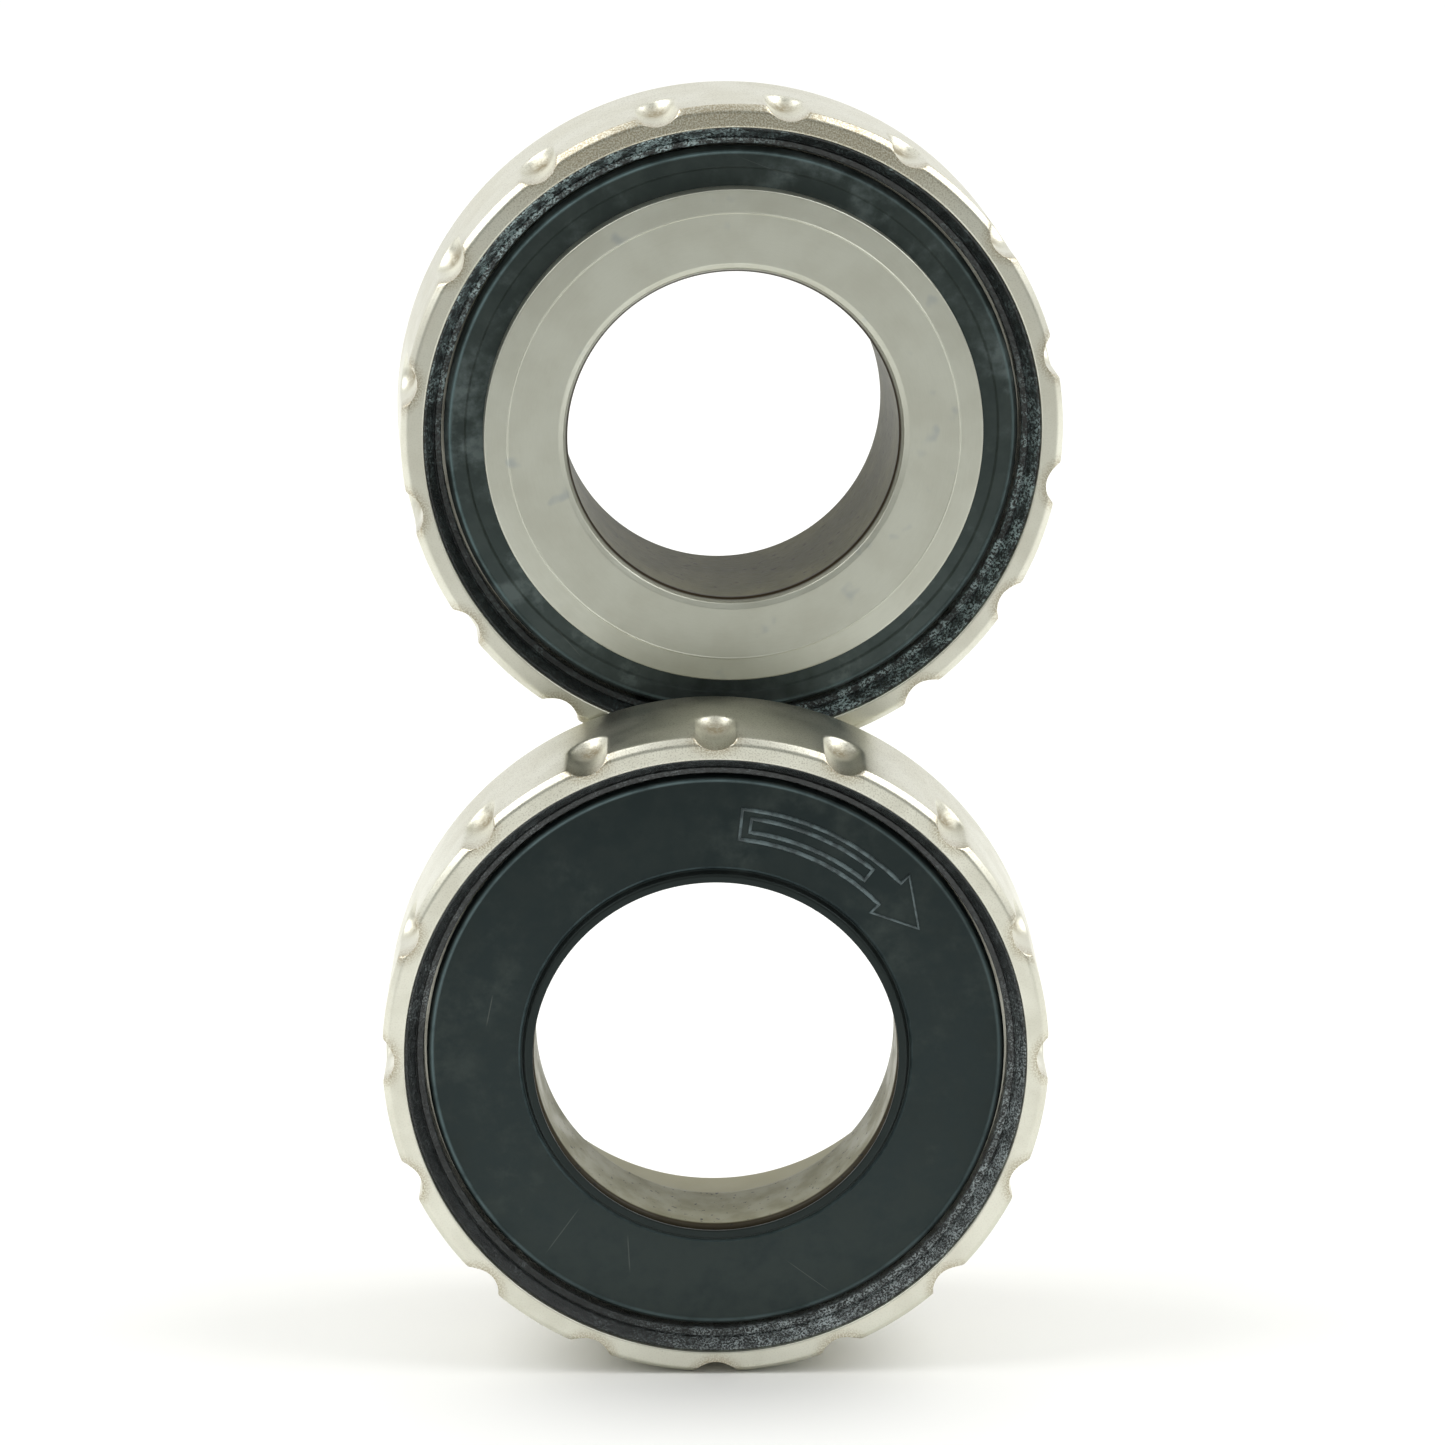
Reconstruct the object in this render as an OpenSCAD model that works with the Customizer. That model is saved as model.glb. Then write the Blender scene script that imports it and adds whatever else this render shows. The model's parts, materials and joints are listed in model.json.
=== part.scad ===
// Threaded external bottom bracket: a drive-side cup and a non-drive cup, each
// with its sealed cartridge bearing. The non-drive cup rests on the threaded
// barrel of the drive-side cup. Both have their outboard faces towards -Y.
// Lengths are in millimetres. Each cup is drawn on its own axis, where z = 0 is
// the outboard face of the flange and +z runs inboard along the spindle.

/* [Cup shell] */
// Outer radius of the flange
flange_r = 22; // [21.8:0.1:22.4]
// Length of the flange
flange_len = 11; // [10:0.5:11]
// Length of the whole cup
cup_len = 21; // [20.5:0.5:23]
// Bevel around the outboard edge of the flange
face_bevel = 0.6; // [0.2:0.1:0.8]
// Radius of the recess that holds the covers
recess_r = 20.5; // [20.5:0.1:20.8]
// Depth of the recess
recess_depth = 2.9; // [2.9:0.1:3.1]
// Radius of the bearing seat
seat_r = 18.5; // [18.5:0.1:18.8]
// Bore of the threaded barrel
barrel_bore_r = 15.5; // [15.2:0.1:15.7]

/* [Wrench notches] */
// Number of notches around the flange
notch_count = 16; // [8:1:20]
// Radius of the round-ended cutter
notch_cutter_r = 1.6; // [1.4:0.1:1.8]
// How deep the cutter goes into the flange
notch_depth = 0.83; // [0.6:0.01:0.9]
// How far the notch runs back from the face
notch_len = 5.8; // [4:0.1:7]
// Turn of the notches on the drive-side cup, in degrees
drive_notch_turn = 0; // [0:0.5:22]
// Turn of the notches on the non-drive cup, in degrees
nondrive_notch_turn = 9.5; // [0:0.5:22]

/* [Thread] */
// Outer radius of the thread, 1.37 in across
thread_r = 17.4; // [17.4:0.1:18]
// Distance between crests, 24 to the inch
thread_pitch = 1.058; // [1:0.001:1.27]
// Depth of the thread
thread_depth = 0.65; // [0.5:0.01:0.65]
// Plain neck between the flange and the thread
neck_len = 0.9; // [0.6:0.1:1.2]

/* [Bearing] */
// Number of balls in each bearing
ball_count = 17; // [12:1:17]
// Radius of a ball, 1/8 in across
ball_r = 1.5875; // [1.5:0.0125:1.5875]
// Radius of the circle of ball centres
pitch_r = 15.25; // [15.2:0.01:15.3]
// Depth of the ball centres behind the face
ball_plane = 5.4; // [5.4:0.1:5.6]
// Width of the outer ring
outer_ring_w = 5.6; // [5.6:0.1:6]
// How far the inner ring reaches past the outer ring, outboard
inner_ring_step = 1; // [0.8:0.1:1.1]
// Bore radius of the drive-side inner ring, the spindle's
drive_bore_r = 12; // [11.8:0.1:12.1]
// Bore radius of the non-drive inner ring
nondrive_bore_r = 12.5; // [12.4:0.1:12.6]

/* [Covers] */
// Outer radius of the turning dust shields
shield_r = 19.1; // [18.9:0.05:19.1]
// Inner radius of the fixed seal ring in the recess
seal_ring_r = 19.3; // [19.3:0.05:19.5]
// Bore radius of the top hat, the spindle's
hat_bore_r = 11; // [10.8:0.1:11.1]
// Radius of the top hat's flange
hat_flange_r = 16.55; // [16:0.05:17]
// Depth of the top hat's inboard end behind the face
hat_end = 12.6; // [9:0.1:14]

/* [Arrangement] */
// Sideways place of the non-drive cup
stack_shift = 1.3; // [0:0.1:1.5]
// How far the non-drive face stands behind the drive-side face
stack_setback = 12; // [12:0.1:13]
// Clearance between the resting flange and the crests it rests on
rest_gap = 0.05; // [0.05:0.01:0.3]
// Turn of the non-drive cup about the vertical, in degrees
stack_yaw = 3.8; // [0:0.1:4]

/* [Hidden] */
$fn = 96;

// Colours
silver = [0.89, 0.88, 0.83];
steel = [0.72, 0.72, 0.70];
bright_steel = [0.80, 0.81, 0.82];
black_plastic = [0.18, 0.20, 0.20];
black_rubber = [0.12, 0.13, 0.13];

// Cup
edge_bevel = 0.3;
mouth_bevel = 0.1;
undercut = 0.2;
notch_ring_r = flange_r - notch_depth + notch_cutter_r;
notch_reach = sqrt(pow(notch_cutter_r, 2) - pow(notch_ring_r - flange_r, 2));
root_r = thread_r - thread_depth;
neck_r = root_r - 0.15;
thread_start = flange_len + neck_len;
flank = thread_depth * tan(30);
crest = thread_pitch / 8;
end_bevel = 0.5;
tooth_count = floor((cup_len - end_bevel - thread_start) / thread_pitch);

// Bearing
outer_front = ball_plane - outer_ring_w / 2;
outer_back = ball_plane + outer_ring_w / 2;
inner_front = outer_front - inner_ring_step;
ring_bevel = 0.4;
groove_r = ball_r + 0.0525;
inner_land_r = pitch_r - 0.95;
outer_land_r = pitch_r + 0.95;
seal_seat_r = outer_land_r + 0.7;
seal_seat_depth = 0.8;
seal_w = 0.6;
lip_gap = 0.06;

// Cage, pressed from sheet in two halves
sheet = 0.3;
pocket_r = ball_r + 0.0625;
cage_in_r = pitch_r - 0.65;
cage_out_r = pitch_r + 0.65;
ball_step = 360 / ball_count;
rivet_r = 0.25;
rivet_head_r = 0.42;
rivet_head_h = 0.15;

// Covers
shield_back = outer_front - 0.25;
hat_seat = inner_front - 0.5;
hat_fit = 0.02;

// The non-drive flange lies across the crests of the drive-side thread
stack_rise = flange_r + thread_r + rest_gap;

// Cross-sections, as [radius, depth]
function thread_tooth(z) = [
    [root_r, z],
    [thread_r, z + flank],
    [thread_r, z + flank + crest],
    [root_r, z + 2 * flank + crest]
];

cup_section = concat(
    [
        [recess_r + mouth_bevel, 0],
        [flange_r - face_bevel, 0],
        [flange_r, face_bevel],
        [flange_r, flange_len - edge_bevel],
        [flange_r - edge_bevel, flange_len],
        [thread_r + undercut, flange_len],
        [thread_r, flange_len - undercut],
        [neck_r, flange_len - undercut],
        [neck_r, thread_start - thread_depth / 2]
    ],
    [for (i = [0 : tooth_count - 1]) each thread_tooth(thread_start + i * thread_pitch)],
    [
        [root_r, cup_len - end_bevel],
        [root_r - end_bevel, cup_len],
        [barrel_bore_r + edge_bevel, cup_len],
        [barrel_bore_r, cup_len - edge_bevel],
        [barrel_bore_r, outer_back],
        [seat_r, outer_back],
        [seat_r, recess_depth],
        [recess_r, recess_depth],
        [recess_r, mouth_bevel]
    ]
);

seal_ring_section = [
    [seal_ring_r, recess_depth],
    [seal_ring_r, 1.45],
    [seal_ring_r + 0.1, 1.3],
    [seal_ring_r + 0.4, 1.15],
    [seal_ring_r + 0.5, 1.35],
    [seal_ring_r + 0.6, 1.15],
    [recess_r - 0.2, 0.45],
    [recess_r - 0.1, 0.35],
    [recess_r, 0.35],
    [recess_r, recess_depth]
];

drive_shield_section = [
    [drive_bore_r + lip_gap, inner_front],
    [drive_bore_r + lip_gap, 0.75],
    [drive_bore_r + 0.2, 0.5],
    [drive_bore_r + 0.5, 0.5],
    [drive_bore_r + 0.65, 0.65],
    [drive_bore_r + 0.75, 1.1],
    [drive_bore_r + 0.95, 1.12],
    [drive_bore_r + 1.1, 1],
    [shield_r - 0.5, 1.55],
    [shield_r - 0.15, 1.68],
    [shield_r, 1.9],
    [shield_r, shield_back],
    [inner_land_r + lip_gap, shield_back],
    [inner_land_r + lip_gap, inner_front]
];

nondrive_shield_section = [
    [nondrive_bore_r + lip_gap, inner_front],
    [nondrive_bore_r + lip_gap, hat_seat],
    [hat_flange_r, hat_seat],
    [shield_r - 1.4, 1.2],
    [shield_r - 1.3, 1.08],
    [shield_r - 0.5, 1.2],
    [shield_r - 0.15, 1.4],
    [shield_r, 1.65],
    [shield_r, shield_back],
    [inner_land_r + lip_gap, shield_back],
    [inner_land_r + lip_gap, inner_front]
];

top_hat_section = [
    [hat_bore_r, 0.2],
    [hat_bore_r + 0.5, -0.5],
    [hat_flange_r - 1.55, -0.65],
    [hat_flange_r, -0.55],
    [hat_flange_r, hat_seat - 0.2],
    [hat_flange_r - 0.2, hat_seat],
    [nondrive_bore_r - hat_fit, hat_seat],
    [nondrive_bore_r - hat_fit, hat_end - edge_bevel],
    [nondrive_bore_r - hat_fit - edge_bevel, hat_end],
    [hat_bore_r + edge_bevel, hat_end],
    [hat_bore_r, hat_end - edge_bevel]
];

outer_ring_section = [
    [outer_land_r, outer_front + seal_seat_depth],
    [seal_seat_r, outer_front + seal_seat_depth],
    [seal_seat_r, outer_front],
    [seat_r - edge_bevel, outer_front],
    [seat_r, outer_front + edge_bevel],
    [seat_r, outer_back - edge_bevel],
    [seat_r - edge_bevel, outer_back],
    [seal_seat_r, outer_back],
    [seal_seat_r, outer_back - seal_seat_depth],
    [outer_land_r, outer_back - seal_seat_depth]
];

function inner_ring_section(bore_r) = [
    [bore_r + ring_bevel, inner_front],
    [inner_land_r, inner_front],
    [inner_land_r, outer_back],
    [bore_r + ring_bevel, outer_back],
    [bore_r, outer_back - ring_bevel],
    [bore_r, inner_front + ring_bevel]
];

// Thin washer with a thicker rim in the outer ring and a bead at its lip
seal_section = [
    [inner_land_r + lip_gap, 0.1],
    [inner_land_r + 0.5, 0.1],
    [inner_land_r + 0.7, 0.25],
    [seal_seat_r - 0.5, 0.25],
    [seal_seat_r - 0.35, 0],
    [seal_seat_r, 0],
    [seal_seat_r, seal_w],
    [inner_land_r + lip_gap, seal_w]
];

// Places
module place_drive() {
    translate([0, -ball_plane, 0]) rotate([-90, 0, 0]) children();
}

module place_nondrive() {
    translate([stack_shift, stack_setback - ball_plane, stack_rise])
        rotate([0, 0, stack_yaw])
            rotate([-90, 0, 0])
                children();
}

module at_each_ball(turn = 0) {
    for (i = [0 : ball_count - 1])
        rotate([0, 0, (i + turn) * ball_step])
            translate([pitch_r, 0, ball_plane])
                children();
}

// Shapes that both cups share
module notch_cutter() {
    sphere_z = notch_len - notch_reach;
    translate([notch_ring_r, 0, -1]) cylinder(r = notch_cutter_r, h = sphere_z + 1);
    translate([notch_ring_r, 0, sphere_z]) sphere(r = notch_cutter_r);
}

module cup_shell(notch_turn) {
    difference() {
        rotate_extrude() polygon(cup_section);
        for (i = [0 : notch_count - 1])
            rotate([0, 0, notch_turn + i * 360 / notch_count]) notch_cutter();
    }
}

module ball_groove() {
    rotate_extrude() translate([pitch_r, ball_plane]) circle(r = groove_r);
}

module outer_ring() {
    difference() {
        rotate_extrude() polygon(outer_ring_section);
        ball_groove();
    }
}

module inner_ring(bore_r) {
    difference() {
        rotate_extrude() polygon(inner_ring_section(bore_r));
        ball_groove();
    }
}

module outboard_seal() {
    translate([0, 0, outer_front + seal_seat_depth - seal_w])
        rotate_extrude() polygon(seal_section);
}

module inboard_seal() {
    translate([0, 0, outer_back - seal_seat_depth + seal_w])
        mirror([0, 0, 1])
            rotate_extrude() polygon(seal_section);
}

module balls() {
    at_each_ball() sphere(r = ball_r);
}

// The outboard half of the cage: a flat ring with a domed pocket at each ball
module cage_half() {
    difference() {
        intersection() {
            union() {
                translate([0, 0, ball_plane - sheet]) cylinder(r = cage_out_r + 1, h = sheet);
                at_each_ball() sphere(r = pocket_r + sheet);
            }
            translate([0, 0, ball_plane - 3])
                difference() {
                    cylinder(r = cage_out_r, h = 3);
                    translate([0, 0, -1]) cylinder(r = cage_in_r, h = 5);
                }
        }
        at_each_ball() sphere(r = pocket_r);
        at_each_ball(0.5) cylinder(r = rivet_r, h = 3, center = true);
    }
}

module cage_half_inboard() {
    translate([0, 0, 2 * ball_plane]) mirror([0, 0, 1]) cage_half();
}

module rivet() {
    cylinder(r = rivet_r, h = 2 * (sheet + rivet_head_h), center = true);
    for (side = [-1, 1])
        translate([0, 0, side * (sheet + rivet_head_h / 2)])
            cylinder(r = rivet_head_r, h = rivet_head_h, center = true);
}

// Drive-side sub-parts
module drive_cup_shell() {
    color(silver) place_drive() cup_shell(drive_notch_turn);
}

module drive_seal_ring() {
    color(black_rubber) place_drive() rotate_extrude() polygon(seal_ring_section);
}

module drive_bearing_outer_ring() {
    color(steel) place_drive() outer_ring();
}

module drive_outboard_seal() {
    color(black_rubber) place_drive() outboard_seal();
}

module drive_inboard_seal() {
    color(black_rubber) place_drive() inboard_seal();
}

module drive_bearing_inner_ring() {
    color(steel) place_drive() inner_ring(drive_bore_r);
}

module drive_dust_shield() {
    color(black_plastic) place_drive() rotate_extrude() polygon(drive_shield_section);
}

module drive_bearing_balls() {
    color(bright_steel) place_drive() balls();
}

module drive_cage_outboard_half() {
    color(steel) place_drive() cage_half();
}

module drive_cage_inboard_half() {
    color(steel) place_drive() cage_half_inboard();
}

module drive_cage_rivets() {
    color(bright_steel) place_drive() at_each_ball(0.5) rivet();
}

// Non-drive sub-parts
module nondrive_cup_shell() {
    color(silver) place_nondrive() cup_shell(nondrive_notch_turn);
}

module nondrive_seal_ring() {
    color(black_rubber) place_nondrive() rotate_extrude() polygon(seal_ring_section);
}

module nondrive_bearing_outer_ring() {
    color(steel) place_nondrive() outer_ring();
}

module nondrive_outboard_seal() {
    color(black_rubber) place_nondrive() outboard_seal();
}

module nondrive_inboard_seal() {
    color(black_rubber) place_nondrive() inboard_seal();
}

module nondrive_bearing_inner_ring() {
    color(steel) place_nondrive() inner_ring(nondrive_bore_r);
}

module nondrive_dust_shield() {
    color(black_plastic) place_nondrive() rotate_extrude() polygon(nondrive_shield_section);
}

module nondrive_top_hat() {
    color(silver) place_nondrive() rotate_extrude() polygon(top_hat_section);
}

module nondrive_bearing_balls() {
    color(bright_steel) place_nondrive() balls();
}

module nondrive_cage_outboard_half() {
    color(steel) place_nondrive() cage_half();
}

module nondrive_cage_inboard_half() {
    color(steel) place_nondrive() cage_half_inboard();
}

module nondrive_cage_rivets() {
    color(bright_steel) place_nondrive() at_each_ball(0.5) rivet();
}

drive_cup_shell();
drive_seal_ring();
drive_bearing_outer_ring();
drive_outboard_seal();
drive_inboard_seal();
drive_bearing_inner_ring();
drive_dust_shield();
drive_bearing_balls();
drive_cage_outboard_half();
drive_cage_inboard_half();
drive_cage_rivets();
nondrive_cup_shell();
nondrive_seal_ring();
nondrive_bearing_outer_ring();
nondrive_outboard_seal();
nondrive_inboard_seal();
nondrive_bearing_inner_ring();
nondrive_dust_shield();
nondrive_top_hat();
nondrive_bearing_balls();
nondrive_cage_outboard_half();
nondrive_cage_inboard_half();
nondrive_cage_rivets();
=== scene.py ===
import json
import math

import bmesh
import bpy
from mathutils import Matrix, Vector, noise


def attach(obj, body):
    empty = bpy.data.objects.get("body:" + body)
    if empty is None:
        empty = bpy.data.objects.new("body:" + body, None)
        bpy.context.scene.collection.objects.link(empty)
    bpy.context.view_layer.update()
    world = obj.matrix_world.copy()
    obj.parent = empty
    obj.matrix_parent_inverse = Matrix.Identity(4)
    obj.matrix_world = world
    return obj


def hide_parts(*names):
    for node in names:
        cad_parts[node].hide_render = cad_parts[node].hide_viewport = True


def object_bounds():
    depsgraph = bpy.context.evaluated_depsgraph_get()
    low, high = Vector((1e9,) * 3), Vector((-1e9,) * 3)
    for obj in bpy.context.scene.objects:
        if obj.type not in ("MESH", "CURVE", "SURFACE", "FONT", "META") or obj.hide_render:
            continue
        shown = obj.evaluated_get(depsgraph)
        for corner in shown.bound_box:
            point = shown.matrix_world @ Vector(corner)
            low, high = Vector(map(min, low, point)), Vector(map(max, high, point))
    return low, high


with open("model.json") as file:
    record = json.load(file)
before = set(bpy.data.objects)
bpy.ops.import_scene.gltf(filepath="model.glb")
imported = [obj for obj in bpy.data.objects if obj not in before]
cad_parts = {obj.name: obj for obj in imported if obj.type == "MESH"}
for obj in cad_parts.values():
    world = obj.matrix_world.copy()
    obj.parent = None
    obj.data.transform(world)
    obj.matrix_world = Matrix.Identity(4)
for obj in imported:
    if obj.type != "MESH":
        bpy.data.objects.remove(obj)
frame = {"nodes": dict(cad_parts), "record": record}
cad_low, cad_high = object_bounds()

# Each cup is drawn in millimetres about its own axis: z = 0 is the face of the
# flange and +z runs inboard. An outline is a list of [radius, depth, fillet].
MM = 0.001
scene = bpy.context.scene
MOUNTS = {m["name"]: m for m in frame["record"]["mounts"]}
SIDES = ("drive", "nondrive")

# Sizes that the record states
FLANGE_R = MOUNTS["drive_wrench_notches"]["dims"]["pcd_mm"] / 2
NOTCHES = MOUNTS["drive_wrench_notches"]["dims"]["count"]
THREAD_R = MOUNTS["nondrive_thread"]["dims"]["r_mm"]
SPINDLE_R = {side: MOUNTS[side + "_spindle_bore"]["dims"]["r_mm"] for side in SIDES}

# Cup shell
FLANGE_LEN = 11
CUP_LEN = 21
RECESS_R = 20.5
RECESS_DEPTH = 2.9
SEAT_R = 18.5
SEAT_END = 8.2
BARREL_BORE_R = 15.5
NOTCH_CUTTER_R = 1.6
NOTCH_RING_R = FLANGE_R + 0.77
NOTCH_BALL_Z = 4.4
NOTCH_TURN = {"drive": 0, "nondrive": math.radians(9.5)}
FACE_BEVEL = 0.42
FACE_WEAR = {"drive": 0, "nondrive": 0.9}
THREAD_PITCH = 1.058
THREAD_DEPTH = 0.65
THREAD_START = 11.9
THREAD_END = 20.5
THREAD_HAND = {"drive": -1, "nondrive": 1}

# Bearing and covers
INNER_FRONT = 1.6
INNER_LAND_R = 14.3
SEAL_SEAT_R = 16.9
RING_BORE_R = {"drive": SPINDLE_R["drive"], "nondrive": 12.5}
SHIELD_R = 19.1
SHIELD_BACK = 2.35
SEAL_RING_R = 19.3
HAT_FLANGE_R = 16.55
HAT_SEAT = 1.1
HAT_END = 12.6

# Mesh density
CUP_COLUMNS = 768
BARREL_COLUMNS = CUP_COLUMNS // 2
RING_COLUMNS = 320
RUBBER_COLUMNS = 960
GUARD = 0.05
ARC_STEP = math.radians(20)
SHARP = math.radians(32)
WELD = 0.0004

# Colours that more than one material uses
CAKED_GREASE = (0.022, 0.012, 0.005)


def cup_matrix(side):
    """Places a cup's own frame in the row frame, from its outboard face."""
    face = MOUNTS[side + "_wrench_notches"]
    inboard = -Vector(face["axis"]).normalized()
    down = Vector((0, 0, -1))
    across = down.cross(inboard).normalized()
    turn = Matrix((across, down, inboard)).transposed().to_4x4()
    return Matrix.Translation(Vector(face["pos_m"])) @ turn @ Matrix.Scale(MM, 4)


# ---- mesh building -------------------------------------------------------

def rounded(outline, closed=True):
    """The outline with each corner that states a fillet turned into an arc,
    and a guard point on either side of the arc to keep the flats flat."""
    points = []
    n = len(outline)
    for i, corner in enumerate(outline):
        here = Vector(corner[:2])
        fillet = corner[2] if len(corner) > 2 else 0
        if fillet == 0 or (not closed and i in (0, n - 1)):
            points.append(here)
            continue
        before = Vector(outline[i - 1][:2]) - here
        after = Vector(outline[(i + 1) % n][:2]) - here
        half = before.angle(after) / 2
        reach = fillet / math.tan(half)
        start = here + before.normalized() * reach
        end = here + after.normalized() * reach
        centre = here + (before.normalized() + after.normalized()).normalized() * (
            fillet / math.sin(half))
        turn = math.pi - 2 * half
        steps = max(2, math.ceil(turn / ARC_STEP))
        guard = min(GUARD, before.length * 0.2, after.length * 0.2)
        points.append(start + before.normalized() * guard)
        for k in range(steps + 1):
            a, b = start - centre, end - centre
            t = k / steps
            arm = (a * math.sin((1 - t) * turn) + b * math.sin(t * turn)) / math.sin(turn)
            points.append(centre + arm)
        points.append(end + after.normalized() * guard)
    return points


def spaced(points, step):
    """The open outline with points added so that none is further than step away."""
    out = [points[0]]
    for a, b in zip(points, points[1:]):
        count = max(1, math.ceil((b - a).length / step))
        out += [a.lerp(b, k / count) for k in range(1, count + 1)]
    return out


def finish_mesh(name, bm):
    """Cleans the mesh, marks its sharp edges and makes an object of it."""
    bmesh.ops.remove_doubles(bm, verts=bm.verts, dist=WELD)
    bmesh.ops.dissolve_degenerate(bm, edges=bm.edges, dist=WELD / 2)
    bmesh.ops.recalc_face_normals(bm, faces=bm.faces)
    for face in bm.faces:
        face.smooth = True
    for edge in bm.edges:
        edge.smooth = len(edge.link_faces) == 2 and edge.calc_face_angle(0) < SHARP
    mesh = bpy.data.meshes.new(name)
    bm.to_mesh(mesh)
    bm.free()
    piece = bpy.data.objects.new(name, mesh)
    scene.collection.objects.link(piece)
    return piece


def add_ring(bm, point, columns, shape=None):
    """One turn of vertices through the outline point."""
    ring = []
    for i in range(columns):
        angle = 2 * math.pi * i / columns
        place = Vector((point[0] * math.cos(angle), point[0] * math.sin(angle), point[1]))
        ring.append(bm.verts.new(shape(place) if shape else place))
    return ring


def bridge(bm, first, second):
    """Quads between two rings of the same count."""
    n = len(first)
    for i in range(n):
        j = (i + 1) % n
        bm.faces.new((first[i], first[j], second[j], second[i]))


def bridge_double(bm, coarse, fine):
    """Faces between a ring and one with twice as many vertices."""
    n = len(coarse)
    for i in range(n):
        j = (i + 1) % n
        bm.faces.new((coarse[i], coarse[j], fine[2 * j], fine[2 * i + 1], fine[2 * i]))


def lathe(name, outline, columns=RING_COLUMNS, shape=None, step=None):
    """A closed ring turned from a closed outline."""
    points = rounded(outline)
    if step:
        points = spaced(points + points[:1], step)[:-1]
    bm = bmesh.new()
    rings = [add_ring(bm, p, columns, shape) for p in points]
    for first, second in zip(rings, rings[1:] + rings[:1]):
        bridge(bm, first, second)
    return finish_mesh(name, bm)


def put(piece, side, body, node):
    """Places a piece made in the cup's frame, hangs it on its body and hides the node that it
    stands in for.
    """
    matrix = cup_matrix(side)
    piece.data.transform(Matrix.Scale(MM, 4))
    piece.matrix_world = matrix @ Matrix.Scale(1 / MM, 4)
    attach(piece, side + "_" + body)
    if node:
        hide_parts(side + "_" + node)
    return piece


# ---- cup shell -----------------------------------------------------------

def cut_notch(turn):
    """Pushes a point out of the nearest round-ended notch, with a worn rim."""
    pitch = 2 * math.pi / NOTCHES
    rim = 0.13
    least_push = 0.002

    def shape(p):
        angle = math.atan2(p.y, p.x) - turn
        nearest = turn + round(angle / pitch) * pitch
        centre = Vector((NOTCH_RING_R * math.cos(nearest),
                         NOTCH_RING_R * math.sin(nearest), min(p.z, NOTCH_BALL_Z)))
        away = p - centre
        inside = NOTCH_CUTTER_R - away.length
        push = (inside + math.sqrt(inside * inside + rim * rim)) / 2
        if push < least_push:
            return p
        return p + away.normalized() * push

    return shape


def thread_rows(bm, hand):
    """Rows of a helical thread, each row one turn of the helix at one height of
    its profile. Rows that run past either end stop there, as a closed ring."""
    flat, flank, crest = 0.17, 0.355, 0.125
    lead_in_slope, run_out_slope = 1.2, 1.5
    heights = [(0, 0), (flat, 0), (flat + flank / 2, 0.5), (flat + flank, 1),
               (flat + flank + crest, 1), (1 - flank / 2, 0.5)]
    root = THREAD_R - THREAD_DEPTH
    n = BARREL_COLUMNS
    turns = math.ceil((THREAD_END - THREAD_START) / THREAD_PITCH) + 2
    rows = []
    for turn in range(turns):
        for phase, height in heights:
            row = []
            for i in range(n):
                along = i / n if hand > 0 else 1 - (i + 1) / n
                z = THREAD_START + THREAD_PITCH * (turn - 1 + phase + along)
                z = min(max(z, THREAD_START), THREAD_END)
                lead_in = (THREAD_END - z) * lead_in_slope
                run_out = (z - THREAD_START) * run_out_slope
                r = root + min(height * THREAD_DEPTH, lead_in, run_out)
                angle = 2 * math.pi * i / n
                row.append(bm.verts.new((r * math.cos(angle), r * math.sin(angle), z)))
            rows.append(row)
    per_turn = len(heights)
    for j, (low, high) in enumerate(zip(rows, rows[1:])):
        for i in range(n - 1):
            bm.faces.new((low[i], low[i + 1], high[i + 1], high[i]))
        if j + 1 + per_turn < len(rows):
            if hand > 0:
                a, b = rows[j + per_turn][0], rows[j + 1 + per_turn][0]
                bm.faces.new((low[n - 1], a, b, high[n - 1]))
            else:
                a, b = rows[j + per_turn][n - 1], rows[j + 1 + per_turn][n - 1]
                bm.faces.new((a, low[0], high[0], b))
    return rows[0], rows[-1]


def mark_dirt_shade_and_scuffs(mesh, side):
    """Stores where dirt gathers and shade is painted, the blind ends of the notches and the
    thread roots, and where the wrench scuffs the notches' rims and, on one cup, the face's top."""
    pitch = 2 * math.pi / NOTCHES
    scuff_reach, scuff_depth = 0.7, 2.2
    worn_from, worn_fade = 14.5, 4
    for name in ("dirt_and_shade", "scuff"):
        mesh.attributes.new(name, "FLOAT", "POINT")
    dirt_and_shade, scuff = mesh.attributes["dirt_and_shade"], mesh.attributes["scuff"]
    for vertex, value, wear_and_highlight in zip(mesh.vertices, dirt_and_shade.data, scuff.data):
        p = vertex.co
        r = math.hypot(p.x, p.y)
        if r > RECESS_R + 0.05 and p.z < NOTCH_BALL_Z + 2.4:
            angle = math.atan2(p.y, p.x) - NOTCH_TURN[side]
            aside = (angle - round(angle / pitch) * pitch) * r
            deep = max(0, 1 - (FLANGE_R - 0.15 - r) / 0.6) if r < FLANGE_R - 0.1 else 1
            reach = math.hypot(aside * 1.1, p.z - NOTCH_BALL_Z - 0.5) / 1.6
            # Blind end of a notch: dirt, darkened further as painted shade in the hollow.
            value.value = min(0.8, max(0, 1.1 * (1 - reach))) * (1 - deep)
            out = abs(math.hypot(aside, NOTCH_RING_R - r) - NOTCH_CUTTER_R)
            rubbed = max(0, 1 - out / scuff_reach) * max(0, 1 - p.z / scuff_depth)
            if p.z < FACE_BEVEL + 0.08:
                worn_top = min(1, max(0, (-p.y - worn_from) / worn_fade))
                rubbed = max(rubbed, FACE_WEAR[side] * worn_top)
            wear_and_highlight.value = rubbed
        elif (BARREL_BORE_R + 0.4 < r < THREAD_R + 0.1
              and THREAD_START - 1 < p.z < CUP_LEN):
            # Thread roots: dirt, darkened further as painted shade in the groove.
            value.value = min(1, max(0, (THREAD_R - 0.15 - r) / THREAD_DEPTH)) * 0.8


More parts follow.
